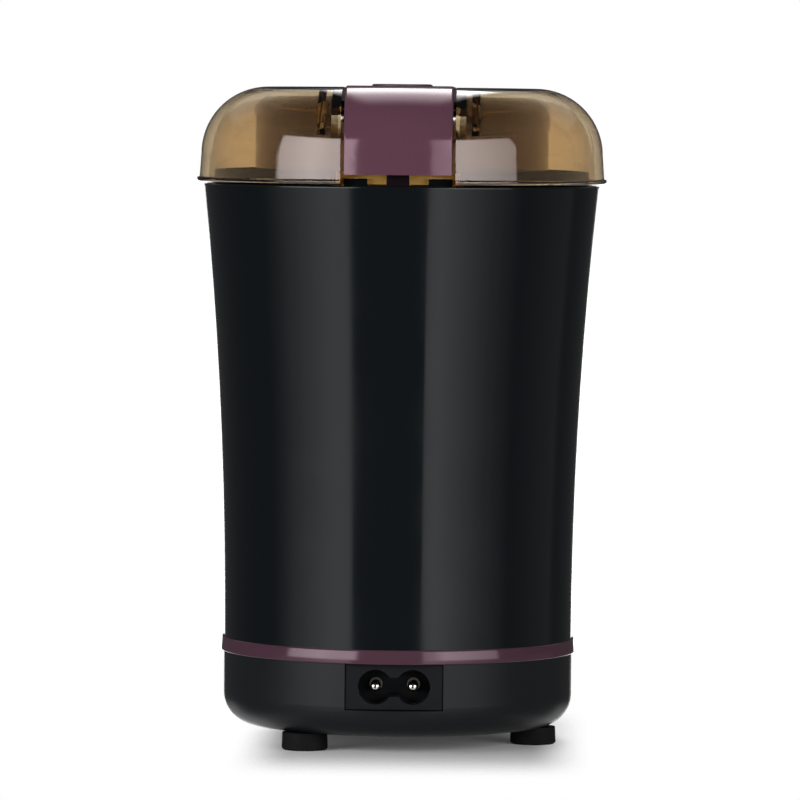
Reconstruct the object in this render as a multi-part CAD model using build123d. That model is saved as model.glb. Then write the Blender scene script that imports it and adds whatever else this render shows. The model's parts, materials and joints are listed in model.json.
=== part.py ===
from build123d import *
import math
import os

# Small electric grain mill: a blade grinder with a lift-off lid, in millimetres.
# The origin is on the axis of the mill, on the surface that it stands on. +Z is up, and the
# mains inlet faces -Y. The motor hangs from the bowl carrier, and the carrier's legs stand on
# the base. The shell is clamped between the two.

# ------------------------------------------------------------------ clearances
slip = 0.2            # moulded pieces that drop into each other
rest_gap = 0.3        # pieces that meet in use but are free to part
running = 0.04        # shaft in its bushes
thread_fit = 0.02     # screw in its pilot hole
slot_fit = 0.3        # tongue in its slot
overshoot = 1.0       # how far a cutting shape runs past what it cuts

# ------------------------------------------------------------------ outside sizes
foot_height = 4.0
foot_radius = 5.2
foot_edge = 0.4
foot_flare = 0.15                  # how much wider the foot is at the table
foot_angles = (-130.0, -10.0, 110.0)
base_radius = 40.8
base_height = 17.2
base_corner = 7.2
base_wall = 2.2
base_spigot_height = 7.0           # how far the base reaches up inside the shell
ring_height = 3.3
ring_proud = 0.8
ring_edge = 0.5
shell_height = 106.1
shell_flare = 5.5                  # how much wider the mouth is than the foot of the shell
shell_wall = 1.8
shell_edge = 0.5
ledge_depth = 4.3                  # from the mouth down to the ledge that the carrier presses on
ledge_width = 2.4
ledge_thickness = 2.0

# ------------------------------------------------------------------ lid
lip_height = 1.1
lip_overhang = 1.7
lip_edge = 0.45
dome_overhang = 0.7                # dome wall beyond the shell's mouth
dome_draft = 0.5
dome_height = 22.2
dome_corner = 15.6
lid_wall = 2.0
channel_depth = 6.5
inner_wall = 2.4
inner_wall_gap = 0.6               # between the lid's inner wall and the bowl
inner_wall_reach = 5.1             # below the lip
rib_place = 16.4
rib_width = 1.8
rib_drop = 11.3                    # ribs' lower edge below the top of the dome
liner_room = 6.0                   # between the liner and the lid's inner wall
liner_thickness = 0.8
liner_boss_height = 0.9
liner_boss_radius = 2.4
liner_screw_x = 8.0
liner_screw_y = 20.0
small_screw_radius = 1.0

# ------------------------------------------------------------------ press bar
bar_width = 24.8
bar_side_gap = 0.7
bar_thickness = 2.0
bar_proud = 0.3
bar_flange = 1.5
bar_edge = 0.5
bar_end_height = 2.2               # bar's ends above the lip's underside
bar_travel = 2.0
tongue_width = 5.2
tongue_thickness = 1.8
tongue_gap = 0.9                   # between tongue and channel wall
tongue_length = 4.4                # below the bar's end
barb_reach = 0.9
barb_height = 1.7
pad_width = 14.0
pad_length = 34.0
pad_height = 0.5
pad_sink = 0.6
pad_edge = 0.4
spring_place = 15.0
spring_radius = 2.6
spring_wire = 0.3
spring_turns = 3.0
spring_post_radius = 1.6
spring_post_height = 1.0

# ------------------------------------------------------------------ bowl and its carrier
bowl_room = 5.8                    # between the bowl and the outside of the shell's foot
bowl_sheet = 0.6
bowl_depth = 36.0
bowl_corner = 7.0
bowl_flange = 4.0
gasket_height = 0.4
carrier_gap = 0.6                  # between bowl and carrier tube
carrier_wall = 1.3
carrier_rim = 2.6                  # thickness of the ring that holds the bowl's flange
carrier_rim_drop = 1.7             # ring's top below the shell's mouth
spigot_thickness = 2.0
spigot_height = 3.0                # above the mouth
key_inner = 7.0
key_outer = 12.4
key_height = 1.6                   # above the mouth
deck_thickness = 2.5
deck_gap = 3.9                     # between deck and bowl
leg_radius = 3.5
boss_radius = 4.8
boss_sink = 0.2                    # how deep a boss runs into the base's spigot
tower_radius = 3.2

# ------------------------------------------------------------------ shaft and blade
shaft_radius = 3.0
shaft_tail = 1.0                   # below the lower bush
shaft_thread_radius = 2.5
seal_flange = 8.5
seal_flange_height = 1.2
seal_wall = 2.8
blade_rise = 4.0                   # blade above the bowl's floor
blade_sheet = 1.5
blade_length = 54.0
blade_width = 12.0
blade_tip = 8.0
blade_tip_angle = 32.0
blade_tip_half = 3.0               # half width of a tip, behind its ground edge
blade_edge_half = 1.2
nut_radius = 4.6
nut_height = 6.4
nut_hex_height = 3.8
nut_cap_radius = 3.7
nut_cap_edge = 2.3
nut_cap_wall = 1.3

# ------------------------------------------------------------------ motor
motor_turn = 20.0                  # direction of the motor's brackets about Z
fan_gap = 4.0                      # between deck and fan
fan_height = 4.8
fan_plate = 0.8
fan_radius = 22.0
fan_hub_radius = 6.0
fan_blades = 9
fan_bend = 15.4                    # radius of the curved vanes
bracket_gap = 1.7                  # between fan and upper bracket
bracket_plate = 2.5
bracket_half_width = 9.0
bracket_foot_length = 7.5
coil_gap = 2.0                     # between bracket plate and coil
coil_overhang = 6.0
core_height = 18.0
core_room = 12.8                   # between the stack and the outside of the shell's foot
core_flat_depth = 2.0
yoke_wall = 5.1
coil_room = 7.9                    # between the yoke and the rotor's bore
pole_half_width = 7.6
pole_shoe = 3.0
pole_shoe_angle = 56.0
coil_clearance = 0.3
air_gap = 0.5
armature_slots = 12
armature_slot_width = 1.6
armature_slot_depth = 5.5
winding_overhang = 4.8
winding_inset = 0.9
commutator_radius = 8.0
commutator_height = 6.0
commutator_slit_depth = 1.2
commutator_slit_width = 0.4
commutator_gap = 1.5               # between commutator and winding
commutator_clearance = 2.5         # between commutator and lower bracket
bush_wall = 2.5
bush_length = 4.0
bush_seat_wall = 2.2
bolt_radius = 1.75
bolt_inset = 2.7                   # from the edge of the stack
bolt_head_radius = 3.2
bolt_head_height = 2.0
brush_width = 5.2
brush_height = 4.2
brush_length = 8.0
brush_gap = 0.05
holder_wall = 1.2
holder_start = 10.5
holder_end = 22.0
brush_spring_radius = 1.7
brush_spring_wire = 0.2
brush_spring_turns = 4.0
mount_inset = 4.3                  # from the outside of the carrier's tube
mount_flange = 4.5
mount_flange_height = 1.8
mount_neck = 2.8
long_screw_radius = 1.5
long_screw_head = 2.7
long_screw_head_height = 1.5
long_screw_seat = 1.8              # screw head's seat in the foot, above the table
leg_screw_depth = 14.0
mount_screw_depth = 7.0

# ------------------------------------------------------------------ inlet
inlet_width = 22.6
inlet_sill = 6.5                   # window's sill above the base's underside
inlet_set_back = 2.0               # flat face behind the base's outermost point
inlet_pin_spacing = 8.6
inlet_lobe_radius = 4.0
inlet_waist_half = 2.2
inlet_recess_depth = 9.0
inlet_pin_radius = 1.2
inlet_root_radius = 1.5            # thicker root that is pressed into the back wall
inlet_pin_set_back = 0.8
inlet_pin_nose = 1.1
inlet_back_wall = 2.8
inlet_flange = 2.6
inlet_flange_thickness = 1.3
clip_height = 7.0                  # inlet's clips above the sill
tab_width = 2.4
tab_thickness = 0.8
tab_height = 6.0

# ------------------------------------------------------------------ switch
slider_head_thickness = 1.4
slider_stem_gap = 0.5              # between the carrier's tube and the stem
slider_stem_thickness = 1.4
slider_lug_half = 4.2
slider_lug_height = 2.2
slider_foot_height = 2.0
slider_foot_drop = 6.0             # foot's top below the deck
rail_thickness = 1.5
rail_length = 26.0
switch_width = 19.8
switch_thickness = 6.4
switch_height = 9.8
switch_hole_spacing = 9.5
switch_screw_radius = 1.2
switch_screw_head = 2.0
switch_screw_head_height = 1.0
button_radius = 1.2
button_fit = 0.07
button_depth = 3.2                 # part of the button that stays in the switch
button_inset = 2.4                 # behind the front of the switch
switch_rest = 0.5                  # between the pressed slider and the switch
switch_screw_height = 2.5
switch_plate_thickness = 1.5
terminal_length = 4.5
terminal_width = 2.4
terminal_thickness = 0.5
terminal_pitch = 7.0
lead_radius = 0.9
lead_bend = 2.6
lead_gap = 3.0                     # between the stack and a lead that passes it
lead_bow = 4.0                     # above the foot of the coils where a lead swings past
lead_end = 5.0                     # straight end of a lead
lead_inset = 3.0                   # from the end of the brush holder

# ------------------------------------------------------------------ base details
vent_count = 12
vent_width = 2.0
vent_start = 12.0
vent_end = 24.0

# ------------------------------------------------------------------ heights worked out from these
base_bottom = foot_height
base_floor = base_bottom + base_wall
base_top = base_bottom + base_height
spigot_top = base_top + base_spigot_height
shell_bottom = base_top + ring_height
mouth = shell_bottom + shell_height
lid_bottom = mouth + rest_gap
dome_top = lid_bottom + dome_height
dome_corner_z = dome_top - dome_corner
channel_floor = dome_top - channel_depth
bar_end = lid_bottom + bar_end_height
tongue_tip = bar_end - tongue_length
slider_top = tongue_tip - rest_gap

carrier_top = mouth - carrier_rim_drop
carrier_bottom = mouth - ledge_depth
bowl_flange_bottom = carrier_top + gasket_height
bowl_rim = bowl_flange_bottom + bowl_sheet
bowl_floor = bowl_rim - bowl_depth
bowl_bottom = bowl_floor - bowl_sheet
deck_top = bowl_bottom - deck_gap
deck_bottom = deck_top - deck_thickness

fan_top = deck_bottom - fan_gap
fan_bottom = fan_top - fan_height
upper_plate_top = fan_bottom - bracket_gap
upper_plate_bottom = upper_plate_top - bracket_plate
coil_top = upper_plate_bottom - coil_gap
core_top = coil_top - coil_overhang
core_bottom = core_top - core_height
coil_bottom = core_bottom - coil_overhang
commutator_top = core_bottom - winding_overhang - commutator_gap
commutator_bottom = commutator_top - commutator_height
lower_plate_top = commutator_bottom - commutator_clearance
lower_plate_bottom = lower_plate_top - bracket_plate
shaft_bottom = lower_plate_top - bush_length - shaft_tail
blade_bottom = bowl_floor + blade_rise
blade_top = blade_bottom + blade_sheet
nut_top = blade_top + nut_height

# ------------------------------------------------------------------ radii worked out from these
bowl_radius = base_radius - bowl_room
mouth_radius = base_radius + shell_flare
flare_radius = (shell_height ** 2 + shell_flare ** 2) / (2 * shell_flare)
spigot_outer = base_radius - shell_wall - slip
spigot_inner = spigot_outer - shell_wall
foot_circle = spigot_inner - boss_radius + boss_sink
dome_radius = mouth_radius + dome_overhang
channel_half = bar_width / 2 + bar_side_gap
channel_outer = channel_half + lid_wall
channel_wall_radius = dome_radius - channel_depth
inner_wall_outer = bowl_radius - inner_wall_gap
inner_wall_inner = inner_wall_outer - inner_wall
liner_radius = inner_wall_inner - liner_room
liner_top = channel_floor - lid_wall - liner_boss_height
liner_bottom = liner_top - liner_thickness
rib_bottom = dome_top - rib_drop
tongue_inner = channel_wall_radius + tongue_gap
tongue_outer = tongue_inner + tongue_thickness
barb_radius = channel_wall_radius - barb_reach
tube_inner = bowl_radius + bowl_sheet + carrier_gap
tube_outer = tube_inner + carrier_wall
mount_place = tube_outer - mount_inset
slot_inner = barb_radius - slot_fit
bowl_flange_radius = bowl_radius + bowl_flange
seal_radius = shaft_radius + running + seal_wall
bush_radius = shaft_radius + running + bush_wall
core_radius = base_radius - core_room
core_flat = core_radius - core_flat_depth
yoke_radius = core_radius - yoke_wall
bore_radius = yoke_radius - coil_room
bolt_place = core_radius - bolt_inset
bracket_foot = core_radius - bracket_foot_length
winding_radius = bore_radius - air_gap - winding_inset
stem_inner = tube_outer + slider_stem_gap
stem_outer = stem_inner + slider_stem_thickness


def shell_radius(z):
    """Outer radius of the flared shell at height z."""
    rise = z - shell_bottom
    return base_radius + flare_radius - math.sqrt(flare_radius ** 2 - rise ** 2)


carrier_radius = shell_radius(carrier_bottom) - shell_wall - slip


# ------------------------------------------------------------------ helpers
def disc(radius, bottom, top):
    """Solid disc about the mill's axis."""
    return Pos(0, 0, bottom) * extrude(Circle(radius), top - bottom)


def ring(outer, inner, bottom, top):
    """Plain ring about the mill's axis."""
    return Pos(0, 0, bottom) * extrude(Circle(outer) - Circle(inner), top - bottom)


def post(x, y, radius, bottom, top):
    """Upright cylinder away from the axis."""
    return Pos(x, y, 0) * disc(radius, bottom, top)


def block(x0, x1, y0, y1, z0, z1):
    """Box between two corners."""
    centre = Pos((x0 + x1) / 2, (y0 + y1) / 2, (z0 + z1) / 2)
    return centre * Box(x1 - x0, y1 - y0, z1 - z0)


def strip(half, y0, y1, z0, z1):
    """Box that is centred on the plane x = 0."""
    return block(-half, half, y0, y1, z0, z1)


def slab(x0, x1, z0, z1):
    """Box between two x values that runs right across the mill."""
    reach = 2 * mouth_radius
    return block(x0, x1, -reach, reach, z0, z1)


def both_sides(solid):
    """A solid and its mirror image about the plane x = 0."""
    return solid + mirror(solid, Plane.YZ)


def lathe(*points):
    """Solid of revolution from the corners of its half section."""
    return revolve(Plane.XZ * make_face(Polyline(*points, close=True)), Axis.Z)


def in_motor(solid):
    """Turn a piece from the motor's own directions to the mill's."""
    return Rot(0, 0, motor_turn) * solid


def foot_places():
    """Centres of the feet, bosses and legs."""
    places = []
    for angle in foot_angles:
        turn = math.radians(angle)
        places.append((foot_circle * math.cos(turn), foot_circle * math.sin(turn)))
    return places


def spring(coil_radius, wire, length, turns):
    """Compression spring that stands on z = 0. Its wire has six sides, to keep it light."""
    pitch = (length - 2 * wire) / turns
    path = Helix(pitch, length - 2 * wire, coil_radius)
    section = Plane(origin=path @ 0, z_dir=path % 0) * RegularPolygon(wire, 6)
    return Pos(0, 0, wire) * sweep(section, path, is_frenet=True)


def lead(*points):
    """Insulated lead along a bent route."""
    path = FilletPolyline(*points, radius=lead_bend)
    section = Plane(origin=path @ 0, z_dir=path % 0) * Circle(lead_radius)
    return sweep(section, path)


def under_dome(offset, bottom=None):
    """Everything inside the lid's outer surface moved inwards by offset."""
    low = lid_bottom if bottom is None else bottom
    wall = dome_radius - offset
    flat = dome_radius - dome_corner
    corner = dome_corner - offset
    diagonal = corner * math.sqrt(0.5)
    points = [
        Line((0, low), (wall + dome_draft, low)),
        Line((wall + dome_draft, low), (wall, dome_corner_z)),
        ThreePointArc(
            (wall, dome_corner_z),
            (flat + diagonal, dome_corner_z + diagonal),
            (flat, dome_top - offset),
        ),
        Line((flat, dome_top - offset), (0, dome_top - offset)),
        Line((0, dome_top - offset), (0, low)),
    ]
    return revolve(Plane.XZ * make_face(points), Axis.Z)


def under_shell(offset, low, high):
    """Everything inside the shell's outer surface moved inwards by offset."""
    middle = (low + high) / 2
    points = [
        Line((0, low), (shell_radius(low) - offset, low)),
        ThreePointArc(
            (shell_radius(low) - offset, low),
            (shell_radius(middle) - offset, middle),
            (shell_radius(high) - offset, high),
        ),
        Line((shell_radius(high) - offset, high), (0, high)),
        Line((0, high), (0, low)),
    ]
    return revolve(Plane.XZ * make_face(points), Axis.Z)


# ------------------------------------------------------------------ base and feet
def base_housing():
    """Tray with a rounded foot, a spigot for the shell and a window for the inlet."""
    inner = base_radius - base_wall
    corner_middle = base_corner * (1 - math.sqrt(0.5))
    outline = [
        Line((0, base_bottom), (base_radius - base_corner, base_bottom)),
        ThreePointArc(
            (base_radius - base_corner, base_bottom),
            (base_radius - corner_middle, base_bottom + corner_middle),
            (base_radius, base_bottom + base_corner),
        ),
        Line((base_radius, base_bottom + base_corner), (base_radius, base_top)),
        Line((base_radius, base_top), (0, base_top)),
        Line((0, base_top), (0, base_bottom)),
    ]
    tray = revolve(Plane.XZ * make_face(outline), Axis.Z)
    hollow = disc(inner, base_floor, base_top)
    corner_edges = hollow.edges().filter_by(GeomType.CIRCLE).sort_by(Axis.Z)[0]
    tray -= fillet(corner_edges, base_corner - base_wall)
    spigot = ring(spigot_outer, spigot_inner, base_top - ring_height, spigot_top)
    tray += spigot + ring(base_radius - base_wall / 2, spigot_inner, base_top - ring_height, base_top)
    for x, y in foot_places():
        tray += post(x, y, boss_radius, base_bottom + base_wall / 2, spigot_top)
    half = inlet_width / 2
    sill = base_bottom + inlet_sill
    tray -= strip(half, -2 * base_radius, -foot_circle, sill, base_top)
    flange_edge = inlet_flange_half + slip
    clip_back = inlet_flange_back + slip
    clip = block(
        inlet_body_half + slip,
        flange_edge,
        clip_back,
        clip_back + base_wall,
        base_floor - slip,
        sill + clip_height,
    )
    tray += both_sides(clip)
    hole = long_screw_radius + slip
    for x, y in foot_places():
        tray -= post(x, y, hole, 0, spigot_top)
    vent = block(vent_start, vent_end, -vent_width / 2, vent_width / 2, 0, base_floor)
    for number in range(vent_count):
        tray -= Rot(0, 0, (number + 0.5) * 360 / vent_count) * vent
    return tray


def rubber_feet():
    """Round feet with a sunk seat for the screw's head."""
    feet = []
    for x, y in foot_places():
        foot = Pos(x, y, 0) * lathe(
            (long_screw_radius + slip, long_screw_seat),
            (long_screw_head + slot_fit, long_screw_seat),
            (long_screw_head + slot_fit, 0),
            (foot_radius + foot_flare - foot_edge, 0),
            (foot_radius + foot_flare, foot_edge),
            (foot_radius, foot_height),
            (long_screw_radius + slip, foot_height),
        )
        feet.append(foot)
    return Compound(feet)


def foot_screws():
    """Long screws from the feet through the base into the carrier's legs."""
    screws = []
    for x, y in foot_places():
        head = disc(long_screw_head, long_screw_seat - long_screw_head_height, long_screw_seat)
        shank = disc(long_screw_radius, long_screw_seat, spigot_top + leg_screw_depth)
        screws.append(Pos(x, y, 0) * (head + shank))
    return Compound(screws)


def trim_ring():
    """Round-edged ring between base and shell."""
    band = ring(base_radius + ring_proud, spigot_outer + slip / 2, base_top, shell_bottom)
    outer_edges = band.edges().filter_by(GeomType.CIRCLE).group_by(SortBy.RADIUS)[-1]
    return fillet(outer_edges, ring_edge)


def body_shell():
    """Flared tube with an inner ledge for the carrier."""
    outer = under_shell(0, shell_bottom, mouth)
    rim = outer.edges().filter_by(GeomType.CIRCLE).sort_by(Axis.Z)[-1]
    shell = fillet(rim, shell_edge) - under_shell(shell_wall, shell_bottom, mouth)
    low = carrier_bottom - ledge_thickness
    high = carrier_bottom
    ledge = under_shell(shell_wall / 2, low, high)
    ledge -= disc(shell_radius(high) - shell_wall - ledge_width, low, high)
    notch_half = slider_lug_half + slip
    return shell + (ledge - slab(-notch_half, notch_half, low, high))


# ------------------------------------------------------------------ inlet
inlet_face = base_radius - inlet_set_back
inlet_body_half = inlet_width / 2 - slip
inlet_flange_half = inlet_width / 2 + inlet_flange
inlet_flange_front = -math.sqrt(spigot_inner ** 2 - inlet_flange_half ** 2) + slip
inlet_flange_back = inlet_flange_front + inlet_flange_thickness
inlet_recess_floor = -inlet_face + inlet_recess_depth
inlet_back = inlet_recess_floor + inlet_back_wall
inlet_low = base_bottom + inlet_sill + slip
inlet_high = base_top - slip
inlet_middle = (inlet_low + inlet_high) / 2


def facing_inlet(sketch, y, depth):
    """Extrude a sketch that is drawn as seen from outside, from y towards +Y."""
    plane = Plane(origin=(0, y, 0), x_dir=(1, 0, 0), z_dir=(0, -1, 0))
    return extrude(plane * sketch, -depth)


def inlet_housing():
    """Two-pole inlet body with its figure-eight recess."""
    body = strip(inlet_body_half, -inlet_face, inlet_back, inlet_low, inlet_high)
    body += strip(
        inlet_flange_half, inlet_flange_front, inlet_flange_back, inlet_low, inlet_high
    )
    lobe = inlet_pin_spacing / 2
    outline = Pos(-lobe, inlet_middle) * Circle(inlet_lobe_radius)
    outline += Pos(lobe, inlet_middle) * Circle(inlet_lobe_radius)
    outline += Pos(0, inlet_middle) * Rectangle(inlet_lobe_radius, 2 * inlet_waist_half)
    body -= facing_inlet(outline, -inlet_face, inlet_recess_depth)
    for side in (-lobe, lobe):
        hole = Pos(side, inlet_middle) * Circle(inlet_root_radius + thread_fit)
        body -= facing_inlet(hole, inlet_recess_floor, inlet_back_wall)
    return body


def inlet_pins():
    """Round contact pins with their solder tabs bent up behind the body."""
    pins = []
    tip = -inlet_face + inlet_pin_set_back
    free_length = inlet_recess_floor - tip
    root_length = inlet_back_wall + slip
    for side in (-1, 1):
        x = side * inlet_pin_spacing / 2
        pin = facing_inlet(Pos(x, inlet_middle) * Circle(inlet_pin_radius), tip, free_length)
        nose = pin.edges().filter_by(GeomType.CIRCLE).sort_by(Axis.Y)[0]
        pin = fillet(nose, inlet_pin_nose)
        root = Pos(x, inlet_middle) * Circle(inlet_root_radius)
        pin += facing_inlet(root, inlet_recess_floor, root_length)
        tab = block(
            x - tab_width / 2,
            x + tab_width / 2,
            inlet_back + slip,
            inlet_back + slip + tab_thickness,
            inlet_middle - inlet_pin_radius,
            inlet_middle + tab_height,
        )
        pins.append(pin + tab)
    return Compound(pins)


# ------------------------------------------------------------------ carrier and bowl
def bowl_carrier():
    """Ring, tube and deck that carry bowl, motor and switch, with legs down to the base."""
    carrier = ring(carrier_radius, tube_inner, carrier_bottom, carrier_top)
    carrier += ring(tube_outer, tube_inner, deck_bottom, carrier_top)
    carrier += disc(tube_inner + carrier_wall / 2, deck_bottom, deck_top)
    carrier += disc(seal_flange, deck_top, bowl_bottom)
    spigot_low = carrier_top - carrier_rim / 2
    spigot = ring(carrier_radius, carrier_radius - spigot_thickness, spigot_low, mouth + spigot_height)
    gap = channel_outer + slot_fit
    carrier += spigot - slab(-gap, gap, carrier_top, mouth + spigot_height)
    key_ring = ring(carrier_radius, channel_wall_radius + tongue_gap, spigot_low, mouth + key_height)
    keys = key_ring & slab(key_inner, key_outer, spigot_low, mouth + key_height)
    carrier += both_sides(keys)
    slot_half = tongue_width / 2 + slot_fit
    for side in (-1, 1):
        near = side * slot_inner
        far = side * (mouth_radius + overshoot)
        carrier -= strip(slot_half, min(near, far), max(near, far), carrier_bottom, carrier_top)
    pilot_top = spigot_top + leg_screw_depth + rest_gap
    for x, y in foot_places():
        leg = post(x, y, leg_radius, spigot_top, deck_bottom)
        carrier += leg - post(x, y, long_screw_radius + thread_fit, spigot_top, pilot_top)
    carrier += in_motor(both_sides(mount_tower()))
    carrier += guide_rails()
    carrier += switch_plate()
    return carrier - disc(seal_radius + slip, deck_bottom, bowl_bottom)


def mount_tower():
    """Tower under the deck that takes a motor screw."""
    low = upper_plate_top + mount_flange_height
    tower = post(mount_place, 0, tower_radius, low, deck_bottom)
    pilot = post(mount_place, 0, long_screw_radius + thread_fit, low, low + mount_screw_depth)
    return tower - pilot


def guide_rails():
    """Two rails on the tube that keep the slider's stem upright."""
    low = deck_top + slip
    high = low + rail_length
    near = tongue_width / 2 + slot_fit
    rail = block(near, near + rail_thickness, -stem_outer, -tube_inner, low, high)
    return both_sides(rail - disc(tube_inner + carrier_wall / 2, low, high))


switch_front = -(stem_inner - slip)
switch_back = switch_front + switch_thickness
switch_top = deck_bottom - slider_foot_drop - slider_foot_height - bar_travel - switch_rest
switch_bottom = switch_top - switch_height
switch_screw_z = switch_bottom + switch_screw_height
switch_middle = (switch_front + switch_back) / 2
button_y = switch_front + button_inset


def switch_screw_places():
    """X places of the switch's two screws."""
    return (-switch_hole_spacing / 2, switch_hole_spacing / 2)


def along_y(x, z, radius, y0, y1):
    """Cylinder along Y."""
    return Pos(x, (y0 + y1) / 2, z) * Rot(90, 0, 0) * Cylinder(radius, y1 - y0)


def switch_plate():
    """Plate that hangs from the deck and carries the switch."""
    plate = strip(
        switch_width / 2,
        switch_back,
        switch_back + switch_plate_thickness,
        switch_bottom,
        deck_bottom,
    )
    for x in switch_screw_places():
        hole = switch_screw_radius + thread_fit
        plate -= along_y(x, switch_screw_z, hole, switch_back, switch_back + switch_plate_thickness)
    return plate


def grinding_bowl():
    """Drawn steel bowl with a flat flange."""
    corner = bowl_corner * (1 - math.sqrt(0.5))
    outer = bowl_radius + bowl_sheet
    outer_corner = bowl_corner + bowl_sheet
    outer_middle = outer_corner * (1 - math.sqrt(0.5))
    hole = seal_radius + slip
    section = [
        Line((hole, bowl_floor), (bowl_radius - bowl_corner, bowl_floor)),
        ThreePointArc(
            (bowl_radius - bowl_corner, bowl_floor),
            (bowl_radius - corner, bowl_floor + corner),
            (bowl_radius, bowl_floor + bowl_corner),
        ),
        Line((bowl_radius, bowl_floor + bowl_corner), (bowl_radius, bowl_rim)),
        Line((bowl_radius, bowl_rim), (bowl_flange_radius, bowl_rim)),
        Line((bowl_flange_radius, bowl_rim), (bowl_flange_radius, bowl_flange_bottom)),
        Line((bowl_flange_radius, bowl_flange_bottom), (outer, bowl_flange_bottom)),
        Line((outer, bowl_flange_bottom), (outer, bowl_bottom + outer_corner)),
        ThreePointArc(
            (outer, bowl_bottom + outer_corner),
            (outer - outer_middle, bowl_bottom + outer_middle),
            (outer - outer_corner, bowl_bottom),
        ),
        Line((outer - outer_corner, bowl_bottom), (hole, bowl_bottom)),
        Line((hole, bowl_bottom), (hole, bowl_floor)),
    ]
    return revolve(Plane.XZ * make_face(section), Axis.Z)


def bowl_gasket():
    """Flat ring between the bowl's flange and the carrier."""
    return ring(bowl_flange_radius - slip, tube_inner + slip, carrier_top, bowl_flange_bottom)


def shaft_seal():
    """Flanged bush that seals the shaft in the bowl's floor."""
    flange = disc(seal_flange, bowl_floor, bowl_floor + seal_flange_height)
    body = disc(seal_radius, deck_bottom, bowl_floor)
    return flange + body - disc(shaft_radius + running, deck_bottom, bowl_floor + seal_flange_height)


# ------------------------------------------------------------------ lid
def lid_dome():
    """Domed lid with a channel over the top, ribs beside it and a wall that enters the bowl."""
    lip = disc(mouth_radius + lip_overhang, lid_bottom, lid_bottom + lip_height)
    skin = under_dome(0) + fillet(lip.edges().filter_by(GeomType.CIRCLE), lip_edge)
    skin -= under_dome(lid_wall, lid_bottom - overshoot)
    skin -= slab(-channel_half, channel_half, lid_bottom - overshoot, dome_top + overshoot)
    depth = channel_depth + lid_wall
    wall = under_dome(0) - under_dome(depth, lid_bottom - overshoot)
    wall &= slab(-channel_outer, channel_outer, lid_bottom, dome_top)
    wall -= under_dome(-overshoot) & (
        slab(-channel_half, channel_half, lid_bottom, dome_top) - under_dome(channel_depth)
    )
    ribs = under_dome(lid_wall / 2) & slab(rib_place, rib_place + rib_width, rib_bottom, dome_top)
    ribs -= disc(liner_radius + slip, rib_bottom, liner_top + slip)
    low = lid_bottom - inner_wall_reach
    cup = ring(inner_wall_outer, inner_wall_inner, low, dome_top)
    beside = cup & under_dome(lid_wall / 2, low) - slab(-channel_half, channel_half, low, dome_top)
    below = cup & under_dome(depth - lid_wall / 2, low)
    lid = skin + wall + both_sides(ribs) + beside + below
    for x, y in liner_screw_places():
        boss = post(x, y, liner_boss_radius, liner_top, channel_floor - lid_wall / 2)
        hole = post(x, y, small_screw_radius + thread_fit, liner_top, channel_floor - lid_wall / 2)
        lid = lid + boss - hole
    post_low = channel_floor - lid_wall / 2
    post_high = channel_floor + spring_post_height
    for y in (-spring_place, spring_place):
        lid += post(0, y, spring_post_radius, post_low, post_high)
    return lid


def liner_screw_places():
    """Centres of the liner's four screws."""
    return [(i * liner_screw_x, j * liner_screw_y) for i in (-1, 1) for j in (-1, 1)]


def lid_liner():
    """Thin pale disc under the channel."""
    liner = disc(liner_radius, liner_bottom, liner_top)
    for x, y in liner_screw_places():
        liner -= post(x, y, small_screw_radius + slip, liner_bottom, liner_top)
    return liner


def liner_screws():
    """Four small screws from below."""
    screws = []
    for x, y in liner_screw_places():
        head = disc(2 * small_screw_radius, liner_bottom - small_screw_radius, liner_bottom)
        shank = disc(small_screw_radius, liner_bottom, channel_floor - lid_wall)
        screws.append(Pos(x, y, 0) * (head + shank))
    return Compound(screws)


# ------------------------------------------------------------------ press bar
def press_bar():
    """Bar that follows the dome, with side flanges, two tongues and their snap barbs."""
    half = bar_width / 2
    under = bar_thickness - bar_proud
    span = slab(-half, half, bar_end, dome_top + bar_proud)
    bar = round_long_edges(under_dome(-bar_proud) & span, half) - under_dome(under)
    flange = under_dome(under - bar_proud) - under_dome(under + bar_flange)
    flange &= slab(half - bar_flange, half, bar_end, dome_top)
    bar += both_sides(flange)
    pin_low = dome_top - under - spring_post_height
    pin_high = dome_top - under / 2
    for side in (-1, 1):
        bar += tongue(side)
        bar += post(0, side * spring_place, spring_post_radius, pin_low, pin_high)
    return bar - press_pad_pocket()


def round_long_edges(solid, half):
    """Round the outer edges of the bar's two long sides."""
    edges = []
    for edge in solid.edges():
        middle = edge.center()
        if abs(middle.X) > half - slip and middle.Z > bar_end + slip:
            edges.append(edge)
    return fillet(edges, bar_edge)


def tongue(side):
    """Upright tongue under one end of the bar, with a barb that snaps under the channel wall."""
    half = tongue_width / 2
    near = side * tongue_inner
    far = side * tongue_outer
    blade = strip(half, min(near, far), max(near, far), tongue_tip, dome_top)
    blade &= under_dome(bar_thickness / 2, tongue_tip)
    barb_top = lid_bottom - slip
    hook = Polyline(
        (side * (tongue_inner + tongue_thickness / 2), barb_top),
        (side * barb_radius, barb_top),
        (side * barb_radius, barb_top - slot_fit),
        (side * (tongue_inner + tongue_thickness / 2), barb_top - barb_height),
        close=True,
    )
    hook_face = Plane.YZ * make_face(hook)
    return blade + extrude(hook_face, half, both=True)


def pad_outline(margin):
    """Round-ended outline of the pad."""
    radius = pad_width / 2 - margin
    return Rot(0, 0, 90) * SlotCenterToCenter(pad_length - pad_width, 2 * radius)


def press_pad_pocket():
    """Pocket in the bar's top that the pad sits in."""
    low = dome_top + bar_proud - pad_sink
    return Pos(0, 0, low) * extrude(pad_outline(0), pad_sink + pad_height)


def press_pad():
    """Grip pad on the middle of the bar."""
    low = dome_top + bar_proud - pad_sink
    pad = Pos(0, 0, low) * extrude(pad_outline(slip / 2), pad_sink + pad_height)
    top_edges = pad.edges().group_by(Axis.Z)[-1]
    return fillet(top_edges, pad_edge)


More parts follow.
